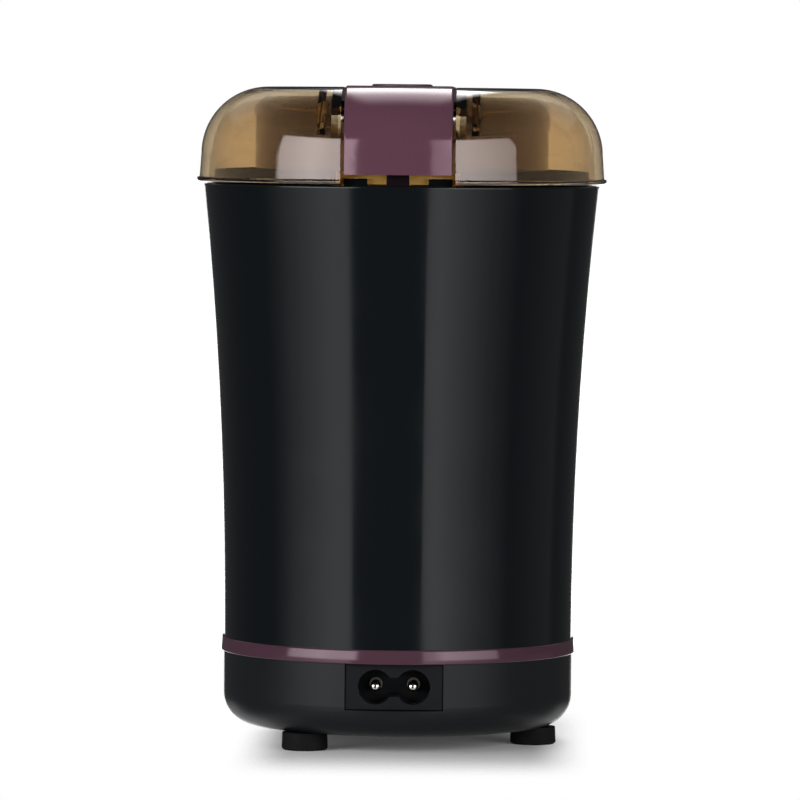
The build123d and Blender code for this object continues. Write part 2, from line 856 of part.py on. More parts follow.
def return_springs():
    """Springs between the channel's floor and the bar."""
    length = dome_top - (bar_thickness - bar_proud) - channel_floor
    springs = []
    for y in (-spring_place, spring_place):
        coil = spring(spring_radius, spring_wire, length, spring_turns)
        springs.append(Pos(0, y, channel_floor) * coil)
    return Compound(springs)


# ------------------------------------------------------------------ switch chain
def switch_slider():
    """Rod that carries the bar's travel down to the switch."""
    half = tongue_width / 2
    lug_top = carrier_bottom - rest_gap
    lug_bottom = lug_top - slider_lug_height
    foot_top = deck_bottom - slider_foot_drop
    foot_bottom = foot_top - slider_foot_height
    rod = strip(half, -tongue_outer, -tongue_outer + slider_head_thickness, lug_bottom, slider_top)
    rod += strip(slider_lug_half, -tongue_outer + slip, -stem_inner, lug_bottom, lug_top)
    rod += strip(half, -stem_outer, -stem_inner, foot_bottom, lug_top)
    rod += strip(half, -stem_outer, button_y + button_radius, foot_bottom, foot_top)
    return rod


def switch_button():
    """Plunger of the switch."""
    top = deck_bottom - slider_foot_drop - slider_foot_height - rest_gap
    return post(0, button_y, button_radius, switch_top - button_depth, top)


def microswitch():
    """Body of the safety switch."""
    body = strip(switch_width / 2, switch_front, switch_back, switch_bottom, switch_top)
    well = switch_top - button_depth - bar_travel - slip
    body -= post(0, button_y, button_radius + button_fit, well, switch_top)
    for x in switch_screw_places():
        hole = switch_screw_radius + slip / 2
        body -= along_y(x, switch_screw_z, hole, switch_front, switch_back)
    return body


def switch_terminals():
    """Three flat terminals under the switch."""
    tabs = []
    for number in (-1, 0, 1):
        x = number * terminal_pitch
        tab = block(
            x - terminal_width / 2,
            x + terminal_width / 2,
            switch_middle - terminal_thickness / 2,
            switch_middle + terminal_thickness / 2,
            switch_bottom - terminal_length,
            switch_bottom,
        )
        tabs.append(tab)
    return Compound(tabs)


def switch_screws():
    """Two screws through the switch into its plate."""
    screws = []
    end = switch_back + switch_plate_thickness
    for x in switch_screw_places():
        head = along_y(
            x, switch_screw_z, switch_screw_head, switch_front - switch_screw_head_height, switch_front
        )
        shank = along_y(x, switch_screw_z, switch_screw_radius, switch_front, end)
        screws.append(head + shank)
    return Compound(screws)


# ------------------------------------------------------------------ motor, in its own directions
def both_poles(solid):
    """A piece and its copy on the other side of the motor's axis."""
    return Compound([in_motor(solid), in_motor(Rot(0, 0, 180) * solid)])


def wedge(radius, half_angle):
    """Face of a circle's sector about the motor's +Y direction."""
    reach = 2 * radius
    side = reach * math.tan(math.radians(half_angle))
    return make_face(Polyline((0, 0), (side, reach), (-side, reach), close=True))


def stator_core():
    """Laminated stack with two poles."""
    outline = Circle(core_radius) & Rectangle(2 * core_radius, 2 * core_flat)
    outline -= Circle(yoke_radius)
    necks = Rectangle(2 * pole_half_width, 2 * (yoke_radius + overshoot))
    shoe_ring = Circle(bore_radius + pole_shoe) - Circle(bore_radius)
    shoe = shoe_ring & wedge(bore_radius + pole_shoe, pole_shoe_angle)
    outline += necks + shoe + Rot(0, 0, 180) * shoe
    outline -= Circle(bore_radius)
    for side in (-1, 1):
        outline -= Pos(side * bolt_place, 0) * Circle(bolt_radius + slip)
    return in_motor(Pos(0, 0, core_bottom) * extrude(outline, core_height))


def field_coils():
    """Two coils around the poles."""
    inner = bore_radius + pole_shoe + coil_clearance
    outer = yoke_radius - coil_clearance
    section = (Circle(outer) - Circle(inner)) & wedge(outer, pole_shoe_angle)
    coil = Pos(0, 0, coil_bottom) * extrude(section, coil_top - coil_bottom)
    neck = pole_half_width + coil_clearance
    window = block(-neck, neck, 0, core_radius, core_bottom - coil_clearance, core_top + coil_clearance)
    return both_poles(coil - window)


def bracket_body(plate_low, plate_high, foot_low, foot_high):
    """Strap across the motor with a foot at each end and a boss for the bush."""
    span = core_radius - slip
    half = bracket_half_width
    reach = Circle(core_radius) & Rectangle(2 * span, 2 * half)
    plate = Pos(0, 0, plate_low) * extrude(reach, plate_high - plate_low)
    feet = Pos(0, 0, foot_low) * extrude(reach, foot_high - foot_low)
    feet -= block(-bracket_foot, bracket_foot, -core_radius, core_radius, foot_low, foot_high)
    return plate + feet


def upper_bracket():
    """Bracket above the stack, with ears for the rubber mounts."""
    bracket = bracket_body(upper_plate_bottom, upper_plate_top, core_top, upper_plate_top)
    ear = strip(mount_flange, 0, mount_place + mount_flange, upper_plate_bottom, upper_plate_top)
    bracket += both_ends(Rot(0, 0, -90) * ear)
    bracket += disc(bush_radius + bush_seat_wall, upper_plate_top - bush_length, upper_plate_top)
    bracket -= disc(bush_radius, upper_plate_top - bush_length, upper_plate_top)
    for side in (-1, 1):
        bracket -= post(side * mount_place, 0, mount_neck, upper_plate_bottom, upper_plate_top)
        bracket -= post(side * bolt_place, 0, bolt_radius + thread_fit, core_top, upper_plate_top)
    return in_motor(bracket)


def both_ends(solid):
    """One solid made of a piece and its half-turned copy."""
    return solid + Rot(0, 0, 180) * solid


def lower_bracket():
    """Bracket below the stack, with arms that carry the brush holders."""
    bracket = bracket_body(lower_plate_bottom, lower_plate_top, lower_plate_bottom, core_bottom)
    arm_half = brush_width / 2 + holder_wall
    bracket += strip(arm_half, -holder_end, holder_end, lower_plate_bottom, lower_plate_top)
    low = lower_plate_top - bush_length
    bracket += disc(bush_radius + bush_seat_wall, low, lower_plate_top)
    bracket -= disc(bush_radius, low, lower_plate_top)
    for side in (-1, 1):
        bracket -= post(side * bolt_place, 0, bolt_radius + slip, lower_plate_bottom, core_bottom)
    return in_motor(bracket)


def motor_bolts():
    """Two long bolts that clamp brackets and stack."""
    head_bottom = lower_plate_bottom - bolt_head_height
    head = post(bolt_place, 0, bolt_head_radius, head_bottom, lower_plate_bottom)
    shank = post(bolt_place, 0, bolt_radius, lower_plate_bottom, upper_plate_top)
    return both_poles(head + shank)


def shaft_bearings():
    """Sintered bushes in the two brackets."""
    bushes = []
    for top in (upper_plate_top, lower_plate_top):
        bushes.append(ring(bush_radius, shaft_radius + running, top - bush_length, top))
    return Compound(bushes)


def motor_mounts():
    """Rubber grommets in the upper bracket's ears."""
    low = upper_plate_bottom - mount_flange_height
    high = upper_plate_top + mount_flange_height
    grommet = disc(mount_flange, low, upper_plate_bottom)
    grommet += disc(mount_neck, low, high)
    grommet += disc(mount_flange, upper_plate_top, high)
    grommet -= disc(long_screw_radius + slip, low, high)
    return both_poles(Pos(mount_place, 0, 0) * grommet)


def mount_screws():
    """Screws through the grommets into the towers."""
    seat = upper_plate_bottom - mount_flange_height
    head = disc(long_screw_head, seat - long_screw_head_height, seat)
    end = upper_plate_top + mount_flange_height + mount_screw_depth - rest_gap
    shank = disc(long_screw_radius, seat, end)
    return both_poles(Pos(mount_place, 0, 0) * (head + shank))


holder_middle = (commutator_top + commutator_bottom) / 2
holder_cavity_end = holder_end - holder_wall


def brush_holders():
    """Box-shaped holders on the lower bracket's arms."""
    half = brush_width / 2 + holder_wall
    high = holder_middle + brush_height / 2 + holder_wall
    body = strip(half, holder_start, holder_end, lower_plate_top, high)
    cavity_half = brush_width / 2 + slip / 2
    cavity_low = holder_middle - brush_height / 2 - slip / 2
    cavity_high = holder_middle + brush_height / 2 + slip / 2
    body -= strip(cavity_half, holder_start, holder_cavity_end, cavity_low, cavity_high)
    return both_poles(body)


def carbon_brushes():
    """Brushes with a hollowed face against the commutator."""
    half = brush_width / 2
    end = commutator_radius + brush_length
    low = holder_middle - brush_height / 2
    high = holder_middle + brush_height / 2
    brush = strip(half, 0, end, low, high) - disc(commutator_radius + brush_gap, low, high)
    return both_poles(brush)


def brush_springs():
    """Springs behind the brushes."""
    start = commutator_radius + brush_length
    coil = spring(brush_spring_radius, brush_spring_wire, holder_cavity_end - start, brush_spring_turns)
    return both_poles(Pos(0, start, holder_middle) * Rot(-90, 0, 0) * coil)


# ------------------------------------------------------------------ rotor
def motor_shaft():
    """Shaft from the lower bush to the blade's thread."""
    body = disc(shaft_radius, shaft_bottom, blade_bottom)
    return body + disc(shaft_thread_radius, blade_bottom, nut_top - nut_cap_wall - slip)


def armature_core():
    """Slotted laminated rotor."""
    radius = bore_radius - air_gap
    outline = Circle(radius) - Circle(shaft_radius)
    slot = Rectangle(armature_slot_depth, armature_slot_width, align=(Align.MAX, Align.CENTER))
    for number in range(armature_slots):
        outline -= Rot(0, 0, number * 360 / armature_slots) * Pos(radius, 0) * slot
    return Pos(0, 0, core_bottom) * extrude(outline, core_height)


def armature_winding():
    """Copper in the slots and the two rounded heads."""
    radius = bore_radius - air_gap
    inner = shaft_radius + slot_fit
    heads = []
    for low, high in (
        (core_bottom - winding_overhang, core_bottom),
        (core_top, core_top + winding_overhang),
    ):
        head = ring(winding_radius, inner, low, high)
        far = 0 if low < core_bottom else -1
        edge = head.edges().filter_by(GeomType.CIRCLE).group_by(Axis.Z)[far].sort_by(SortBy.RADIUS)[-1]
        heads.append(fillet(edge, winding_overhang / 2))
    winding = heads[0] + heads[1]
    bar_inner = radius - armature_slot_depth + thread_fit
    half = armature_slot_width / 2 - thread_fit
    bar = block(bar_inner, winding_radius, -half, half, core_bottom, core_top)
    for number in range(armature_slots):
        winding += Rot(0, 0, number * 360 / armature_slots) * bar
    return winding


def commutator():
    """Segmented copper drum."""
    outline = Circle(commutator_radius) - Circle(shaft_radius)
    slit = Rectangle(
        commutator_slit_depth, commutator_slit_width, align=(Align.MAX, Align.CENTER)
    )
    for number in range(armature_slots):
        angle = (number + 0.5) * 360 / armature_slots
        outline -= Rot(0, 0, angle) * Pos(commutator_radius, 0) * slit
    return Pos(0, 0, commutator_bottom) * extrude(outline, commutator_height)


def cooling_fan():
    """Fan with curved vanes on a thin plate."""
    plate = disc(fan_radius, fan_bottom, fan_bottom + fan_plate)
    plate += disc(fan_hub_radius, fan_bottom, fan_top)
    arc = Circle(fan_bend) - Circle(fan_bend - fan_plate)
    vane_face = Pos(fan_bend, 0) * arc & Circle(fan_radius - fan_plate)
    vane_face -= Circle(fan_hub_radius - fan_plate)
    vane_face &= Pos(0, fan_bend) * Rectangle(4 * fan_bend, 2 * fan_bend)
    vane = Pos(0, 0, fan_bottom + fan_plate / 2) * extrude(vane_face, fan_height - fan_plate / 2)
    fan = plate
    for number in range(fan_blades):
        fan += Rot(0, 0, number * 360 / fan_blades) * vane
    return fan - disc(shaft_radius, fan_bottom, fan_top)


def blade():
    """Two-winged blade with raised tips and ground leading edges."""
    half = blade_length / 2
    flat = half - blade_tip
    rise = blade_tip * math.tan(math.radians(blade_tip_angle))
    profile = [
        (-half, rise),
        (-flat, 0),
        (flat, 0),
        (half, rise),
        (half, rise + blade_sheet),
        (flat, blade_sheet),
        (-flat, blade_sheet),
        (-half, rise + blade_sheet),
    ]
    strip_face = Plane.XZ * make_face(Polyline(*profile, close=True))
    body = extrude(strip_face, blade_width, both=True)
    waist = blade_width / 2
    plan = make_face(
        Polyline(
            (-half, -blade_tip_half),
            (-flat, -waist),
            (-nut_radius, -waist),
            (half, -blade_edge_half),
            (half, blade_tip_half),
            (flat, waist),
            (nut_radius, waist),
            (-half, blade_edge_half),
            close=True,
        )
    )
    body &= extrude(plan, rise + blade_sheet)
    body -= disc(shaft_thread_radius + thread_fit, 0, blade_sheet)
    return Pos(0, 0, blade_bottom) * body


def blade_nut():
    """Domed nut that holds the blade."""
    hexagon = RegularPolygon(nut_radius, 6)
    nut = extrude(hexagon, nut_hex_height)
    cap = disc(nut_cap_radius, 0, nut_height)
    rim = cap.edges().filter_by(GeomType.CIRCLE).sort_by(Axis.Z)[-1]
    nut += fillet(rim, nut_cap_edge)
    nut -= disc(shaft_thread_radius + thread_fit, 0, nut_height - nut_cap_wall)
    return Pos(0, 0, blade_top) * nut


# ------------------------------------------------------------------ leads
pin_tab_y = inlet_back + slip + tab_thickness / 2
pin_tab_top = inlet_middle + tab_height
lead_x = inlet_pin_spacing / 2
lead_y = -(core_radius + lead_gap)
lead_turn = (pin_tab_top + coil_bottom) / 2


def wire_live():
    """Lead from the inlet's right-hand pin to the switch."""
    terminal_end = switch_bottom - terminal_length
    return lead(
        (lead_x, pin_tab_y, pin_tab_top),
        (lead_x, pin_tab_y, lead_turn),
        (lead_x, lead_y, coil_bottom + lead_bow),
        (terminal_pitch, switch_middle, terminal_end - lead_end),
        (terminal_pitch, switch_middle, terminal_end),
    )


def wire_neutral():
    """Lead from the inlet's left-hand pin to the field coil."""
    coil_middle = (bore_radius + pole_shoe + yoke_radius) / 2
    return lead(
        (-lead_x, pin_tab_y, pin_tab_top),
        (-lead_x, pin_tab_y, lead_turn),
        (-lead_x, -coil_middle, coil_bottom - lead_end),
        (-lead_x, -coil_middle, coil_bottom),
    )


def wire_link():
    """Lead from the switch to the brush holder."""
    terminal_end = switch_bottom - terminal_length
    turn = math.radians(motor_turn - 90)
    along = (math.cos(turn), math.sin(turn))
    side = -(brush_width / 2 + holder_wall)
    reach = holder_end - lead_inset
    end_x = reach * along[0] - side * along[1]
    end_y = reach * along[1] + side * along[0]
    return lead(
        (0, switch_middle, terminal_end),
        (0, switch_middle, terminal_end - lead_end),
        (0, lead_y, coil_bottom + lead_bow),
        (end_x + lead_end * along[1], end_y - lead_end * along[0], holder_middle),
        (end_x, end_y, holder_middle),
    )


# ------------------------------------------------------------------ files
pieces = {
    "base_housing": base_housing,
    "rubber_feet": rubber_feet,
    "foot_screws": foot_screws,
    "trim_ring": trim_ring,
    "body_shell": body_shell,
    "inlet_housing": inlet_housing,
    "inlet_pins": inlet_pins,
    "bowl_carrier": bowl_carrier,
    "grinding_bowl": grinding_bowl,
    "bowl_gasket": bowl_gasket,
    "shaft_seal": shaft_seal,
    "lid_dome": lid_dome,
    "lid_liner": lid_liner,
    "liner_screws": liner_screws,
    "press_bar": press_bar,
    "press_pad": press_pad,
    "return_springs": return_springs,
    "switch_slider": switch_slider,
    "switch_button": switch_button,
    "microswitch": microswitch,
    "switch_terminals": switch_terminals,
    "switch_screws": switch_screws,
    "stator_core": stator_core,
    "field_coils": field_coils,
    "upper_bracket": upper_bracket,
    "lower_bracket": lower_bracket,
    "motor_bolts": motor_bolts,
    "shaft_bearings": shaft_bearings,
    "motor_mounts": motor_mounts,
    "mount_screws": mount_screws,
    "brush_holders": brush_holders,
    "carbon_brushes": carbon_brushes,
    "brush_springs": brush_springs,
    "motor_shaft": motor_shaft,
    "armature_core": armature_core,
    "armature_winding": armature_winding,
    "commutator": commutator,
    "cooling_fan": cooling_fan,
    "blade": blade,
    "blade_nut": blade_nut,
    "wire_live": wire_live,
    "wire_neutral": wire_neutral,
    "wire_link": wire_link,
}

os.makedirs("parts", exist_ok=True)
for name, make in pieces.items():
    export_step(make(), f"parts/{name}.step")
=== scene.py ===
"""Small electric grain mill: gloss black housing, plum trim and an amber lid, on a white table."""

import json
import math

import bmesh
import bpy
from mathutils import Matrix, Vector


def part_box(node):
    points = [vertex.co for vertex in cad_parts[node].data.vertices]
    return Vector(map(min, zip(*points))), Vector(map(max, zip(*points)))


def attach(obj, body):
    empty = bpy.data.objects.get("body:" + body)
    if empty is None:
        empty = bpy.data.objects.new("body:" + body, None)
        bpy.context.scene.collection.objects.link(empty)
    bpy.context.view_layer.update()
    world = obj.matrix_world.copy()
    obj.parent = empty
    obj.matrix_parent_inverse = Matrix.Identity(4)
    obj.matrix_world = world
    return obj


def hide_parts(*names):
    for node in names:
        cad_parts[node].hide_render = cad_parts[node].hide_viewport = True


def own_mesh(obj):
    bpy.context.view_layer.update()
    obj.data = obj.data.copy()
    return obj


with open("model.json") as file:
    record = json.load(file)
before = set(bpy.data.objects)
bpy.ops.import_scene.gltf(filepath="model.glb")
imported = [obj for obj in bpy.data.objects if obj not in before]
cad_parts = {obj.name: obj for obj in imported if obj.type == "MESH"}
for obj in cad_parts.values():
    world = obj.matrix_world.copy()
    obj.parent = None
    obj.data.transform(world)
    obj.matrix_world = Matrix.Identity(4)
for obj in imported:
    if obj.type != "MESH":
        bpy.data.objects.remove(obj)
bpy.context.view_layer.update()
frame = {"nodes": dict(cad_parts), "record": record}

MM = 0.001
FULL_TURN = 2 * math.pi
SHARP_ABOVE = math.radians(40)
PLASTIC_IOR = 1.53

# Places on the mill where a colour changes, as a radius, a height or half a width: where the lid's
# tint deepens, and where the sill's painted glow and the painted shade below the bar's end begin.
INNER_WALL_OUTSIDE = 34.4 * MM
DOME_INSIDE = 150.6 * MM
SILL_HALF_WIDTH = 13.1 * MM
SILL_MIDDLE = 130.9 * MM
SILL_HALF_HEIGHT = 2.7 * MM
BAR_END = 133.1 * MM

# ---------------------------------------------------------------- nodes and colours


def colour(hex_code):
    """Linear RGBA of an sRGB hex colour."""
    channels = []
    for i in (1, 3, 5):
        s = int(hex_code[i : i + 2], 16) / 255
        channels.append(s / 12.92 if s <= 0.04045 else ((s + 0.055) / 1.055) ** 2.4)
    return (*channels, 1.0)


def add_node(tree, kind, inputs=None, **settings):
    """Add a node. inputs maps a socket's name or number to a value or to another node's output."""
    node = tree.nodes.new(kind)
    for name, value in settings.items():
        setattr(node, name, value)
    for name, value in (inputs or {}).items():
        if isinstance(value, bpy.types.NodeSocket):
            tree.links.new(value, node.inputs[name])
        else:
            node.inputs[name].default_value = value
    return node


def new_material(name):
    """A material with only its output node, and that output."""
    material = bpy.data.materials.new(name)
    material.use_nodes = True
    material.node_tree.nodes.clear()
    output = add_node(material.node_tree, "ShaderNodeOutputMaterial")
    return material, material.node_tree, output


def grain_bump(tree, size_mm, depth_mm):
    """Bump from a fine noise whose lumps are size_mm across."""
    place = add_node(tree, "ShaderNodeTexCoord").outputs["Object"]
    noise = add_node(
        tree,
        "ShaderNodeTexNoise",
        {"Vector": place, "Scale": 1 / (size_mm * MM), "Detail": 2.0},
    )
    bump = add_node(
        tree,
        "ShaderNodeBump",
        {"Height": noise.outputs["Fac"], "Distance": depth_mm * MM, "Strength": 1.0},
    )
    return bump.outputs["Normal"]


def uneven(tree, size_mm, low, high):
    """A value that drifts between low and high over patches size_mm across."""
    place = add_node(tree, "ShaderNodeTexCoord").outputs["Object"]
    noise = add_node(
        tree,
        "ShaderNodeTexNoise",
        {"Vector": place, "Scale": 1 / (size_mm * MM), "Detail": 3.0},
    )
    # Nearly all of the noise lies between 0.3 and 0.7.
    spread = add_node(
        tree,
        "ShaderNodeMapRange",
        {
            "Value": noise.outputs["Fac"],
            "From Min": 0.3,
            "From Max": 0.7,
            "To Min": low,
            "To Max": high,
        },
    )
    return spread.outputs["Result"]


# ---------------------------------------------------------------- finishes


def gloss_black_abs():
    """Polished moulded ABS, dyed through: deep black, dim reflections, a faint orange peel."""
    material, tree, output = new_material("gloss_black_abs")
    shader = add_node(
        tree,
        "ShaderNodeBsdfPrincipled",
        {
            "Base Color": colour("#0d1113"),
            "Roughness": uneven(tree, size_mm=18, low=0.10, high=0.16),
            "IOR": PLASTIC_IOR,
            "Specular IOR Level": 0.23,
            "Normal": grain_bump(tree, size_mm=1.2, depth_mm=0.0012),
        },
    )
    tree.links.new(shader.outputs["BSDF"], output.inputs["Surface"])
    return material


def satin_black_abs():
    """Moulded ABS from a finely blasted tool: black with a soft, even sheen."""
    material, tree, output = new_material("satin_black_abs")
    shader = add_node(
        tree,
        "ShaderNodeBsdfPrincipled",
        {
            "Base Color": colour("#191a1c"),
            "Roughness": uneven(tree, size_mm=9, low=0.31, high=0.38),
            "IOR": PLASTIC_IOR,
            "Specular IOR Level": 0.11,
            "Normal": grain_bump(tree, size_mm=0.35, depth_mm=0.002),
        },
    )
    tree.links.new(shader.outputs["BSDF"], output.inputs["Surface"])
    return material


def plum_lacquered_abs(name, deep, light, shaded_below=0.0):
    """ABS with a pearl lacquer: plum colour, fine flake and a clear gloss coat. Below a given
    height the colour is painted near black, as painted shade where the press bar's tongue sits in
    shadow."""
    material, tree, output = new_material(name)
    place = add_node(tree, "ShaderNodeTexCoord").outputs["Object"]
    # Real flake is about 0.03 mm; 0.12 mm is the finest that still shows.
    flake_size = 0.12 * MM
    flake = add_node(tree, "ShaderNodeTexVoronoi", {"Vector": place, "Scale": 1 / flake_size})
    sparkle = add_node(
        tree,
        "ShaderNodeMix",
        {"Factor": flake.outputs["Color"], "A": colour(deep), "B": colour(light)},
        data_type="RGBA",
    )
    # Painted shade: below the given height the colour turns near black, for the shadow the press
    # bar's tongue sits in.
    height = add_node(tree, "ShaderNodeSeparateXYZ", {"Vector": place}).outputs["Z"]
    painted_shade = add_node(
        tree, "ShaderNodeMath", {0: height, 1: shaded_below}, operation="LESS_THAN"
    ).outputs[0]
    surface = add_node(
        tree,
        "ShaderNodeMix",
        {"Factor": painted_shade, "A": sparkle.outputs["Result"], "B": colour("#1c1319")},
        data_type="RGBA",
    )
    shader = add_node(
        tree,
        "ShaderNodeBsdfPrincipled",
        {
            "Base Color": surface.outputs["Result"],
            "Metallic": 0.15,
            "Roughness": 0.1,
            "IOR": PLASTIC_IOR,
            "Specular IOR Level": 0.22,
            "Normal": grain_bump(tree, size_mm=1.5, depth_mm=0.0012),
        },
    )
    tree.links.new(shader.outputs["BSDF"], output.inputs["Surface"])
    return material


def on_inner_wall(tree, axes):
    """1 on the outside of the wall that enters the bowl, 0 elsewhere."""
    flat = add_node(
        tree, "ShaderNodeCombineXYZ", {"X": axes["X"], "Y": axes["Y"]}
    ).outputs["Vector"]
    radius = add_node(
        tree, "ShaderNodeVectorMath", {0: flat}, operation="LENGTH"
    ).outputs["Value"]
    leeway = 0.3 * MM
    at_wall = add_node(
        tree,
        "ShaderNodeMath",
        {0: radius, 1: INNER_WALL_OUTSIDE, 2: leeway},
        operation="COMPARE",
    ).outputs[0]
    under_dome = add_node(
        tree, "ShaderNodeMath", {0: axes["Z"], 1: DOME_INSIDE}, operation="LESS_THAN"
    ).outputs[0]
    return add_node(
        tree, "ShaderNodeMath", {0: at_wall, 1: under_dome}, operation="MULTIPLY"
    ).outputs[0]


def on_sill(tree, axes):
    """1 on the channel's sill under the ends of the press bar, 0 elsewhere."""
    sill = 1.0
    for axis, middle, half in (
        ("X", 0.0, SILL_HALF_WIDTH),
        ("Z", SILL_MIDDLE, SILL_HALF_HEIGHT),
    ):
        between = add_node(
            tree, "ShaderNodeMath", {0: axes[axis], 1: middle, 2: half}, operation="COMPARE"
        ).outputs[0]
        sill = add_node(
            tree, "ShaderNodeMath", {0: sill, 1: between}, operation="MULTIPLY"
        ).outputs[0]
    return sill


def amber_san():
    """Clear smoke-amber SAN, polished both sides. Each face and each bit of depth adds tint, so
    that double walls are brown and the long way through a rib is darker still."""
    material, tree, output = new_material("amber_san")
    place = add_node(tree, "ShaderNodeTexCoord").outputs["Object"]
    axes = add_node(tree, "ShaderNodeSeparateXYZ", {"Vector": place}).outputs
    # The outside of the wall that enters the bowl is given a deeper tint, which darkens the view
    # through the lid's middle.
    tint = add_node(
        tree,
        "ShaderNodeMix",
        {"Factor": on_inner_wall(tree, axes), "A": colour("#dac3a0"), "B": colour("#594931")},
        data_type="RGBA",
    )
    # Darker where a wall is seen at a grazing angle: partly the longer way the light goes through
    # it, and partly painted shade for the lid's dark outline.
    facing = add_node(tree, "ShaderNodeLayerWeight", {"Blend": 0.5}).outputs["Facing"]
    grazing = add_node(
        tree, "ShaderNodeMapRange", {"Value": facing, "From Min": 0.5}
    ).outputs["Result"]
    tint = add_node(
        tree,
        "ShaderNodeMix",
        {"Factor": grazing, "A": tint.outputs["Result"], "B": colour("#4d3b28")},
        data_type="RGBA",
    )
    # Painted light: the sill under the bar's ends is painted a bright gold and made nearly opaque,
    # standing for light that shines through the channel from behind.
    sill = on_sill(tree, axes)
    surface = add_node(
        tree,
        "ShaderNodeMix",
        {"Factor": sill, "A": tint.outputs["Result"], "B": colour("#ffc868")},
        data_type="RGBA",
    ).outputs["Result"]
    clear = add_node(
        tree, "ShaderNodeMapRange", {"Value": sill, "To Min": 1.0, "To Max": 0.1}
    ).outputs["Result"]
    shader = add_node(
        tree,
        "ShaderNodeBsdfPrincipled",
        {
            "Base Color": surface,
            "Roughness": 0.02,
            "IOR": 1.58,
            "Specular Tint": colour("#fff1ee"),
            "Transmission Weight": clear,
        },
    )
    depth = add_node(
        tree, "ShaderNodeVolumeAbsorption", {"Color": colour("#e0d0a0"), "Density": 30.0}
    )
    tree.links.new(shader.outputs["BSDF"], output.inputs["Surface"])
    tree.links.new(depth.outputs["Volume"], output.inputs["Volume"])
    return material


def plain_finish(name, hex_code, roughness, metallic=0.0, size_mm=0.5, depth_mm=0.004, **sockets):
    """A moulded, cast or drawn surface with a fine grain, a little duller here and there."""
    material, tree, output = new_material(name)
    drift = 0.12
    inputs = {
        "Base Color": colour(hex_code),
        "Metallic": metallic,
        "Roughness": uneven(
            tree,
            size_mm=6,
            low=roughness * (1 - drift),
            high=min(1.0, roughness * (1 + drift)),
        ),
        "Normal": grain_bump(tree, size_mm, depth_mm),
    }
    inputs.update({key.replace("_", " "): value for key, value in sockets.items()})
    shader = add_node(tree, "ShaderNodeBsdfPrincipled", inputs)
    tree.links.new(shader.outputs["BSDF"], output.inputs["Surface"])
    return material


# By the record's material slot.
finishes = {
    "black_abs": gloss_black_abs(),
    "black_abs_satin": satin_black_abs(),
    "plum_abs": plum_lacquered_abs("plum_lacquered_abs", "#563744", "#60404c", BAR_END),
    "amber_clear": amber_san(),
    # Moulded soft-touch TPE: charcoal with a dull shine.
    "pad_grey": plain_finish("grip_pad_tpe", "#3a383b", 0.45, size_mm=0.3, depth_mm=0.01),
    # Moulded rubber: black, and so dull that it hardly reflects.
    "black_rubber": plain_finish(
        "moulded_rubber", "#0a0a0c", 0.75, size_mm=0.3, depth_mm=0.012, Specular_IOR_Level=0.15
    ),
    # Moulded silicone: milky, with a soft shine.
    "clear_silicone": plain_finish("moulded_silicone", "#cfcfc8", 0.4),
    # Drawn stainless steel: bright, with reflections that are only a little soft.
    "stainless": plain_finish(
        "drawn_stainless", "#c8c8c6", 0.22, metallic=1.0, size_mm=0.25, depth_mm=0.001
    ),
    # Drawn spring wire: grey and half bright.
    "spring_steel": plain_finish("spring_wire", "#a9a9a6", 0.3, metallic=1.0),
    # Bright zinc plating: pale, a touch warm, half bright.
    "zinc_screw": plain_finish("zinc_plated_steel", "#b9bab4", 0.3, metallic=1.0),
    # Nickel plating on brass: warm silver, almost a mirror.
    "nickel_brass": plain_finish("nickel_plated_brass", "#cbc8be", 0.12, metallic=1.0),
    # Sintered bronze: brown gold, dulled by its pores.
    "bronze": plain_finish(
        "sintered_bronze", "#9a7448", 0.5, metallic=1.0, size_mm=0.15, depth_mm=0.01
    ),
    # Enamelled copper wire: red-brown with a metal shine.
    "copper": plain_finish("enamelled_copper", "#a5552f", 0.3, metallic=1.0),
    # Stamped and stacked silicon steel: mid grey and dull.
    "lamination": plain_finish("silicon_steel_stack", "#7b7c7e", 0.45, metallic=1.0),
    # Moulded natural nylon: off-white and waxy.
    "nylon": plain_finish("natural_nylon", "#d9d5c8", 0.5),
    # Pressed carbon: near black and dull.
    "carbon": plain_finish("carbon_brush", "#262626", 0.6),
    # Extruded PVC insulation in three colours, each with a soft shine.
    "lead_brown": plain_finish("pvc_brown", "#4a2a1a", 0.45),
    "lead_blue": plain_finish("pvc_blue", "#20427e", 0.45),
    "lead_black": plain_finish("pvc_black", "#1a1a1a", 0.45),
}

# Nodes that are a shade darker than the rest of their slot: the carrier by its own matt finish,
# the trim ring by painted shade.
darker = {
    # ABS from an eroded tool: a flat black that hardly reflects.
    "bowl_carrier": plain_finish(
        "matt_black_abs", "#090a0b", 0.6, size_mm=0.35, IOR=1.3, Specular_IOR_Level=0.05
    ),
    # Painted shade: the trim ring has the press bar's plum lacquer, painted a shade darker.
    "trim_ring": plum_lacquered_abs("shaded_plum_abs", "#48303a", "#4f3540"),
}

for part in frame["record"]["subparts"]:
    mesh = frame["nodes"][part["node"]].data
    mesh.materials.clear()
    mesh.materials.append(darker.get(part["node"], finishes[part["material_slot"]]))

# ---------------------------------------------------------------- pieces that replace solids


def finish_piece(name, build, material, slot, body, *nodes):
    """Turn a bmesh into a piece that stands for the nodes, and that rides on their body."""
    bmesh.ops.recalc_face_normals(build, faces=build.faces)
    mesh = bpy.data.meshes.new(name)
    build.to_mesh(mesh)
    build.free()
    mesh.materials.append(material)
    piece = bpy.data.objects.new(name, mesh)
    bpy.context.scene.collection.objects.link(piece)
    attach(piece, body)
    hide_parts(*nodes)
    return piece


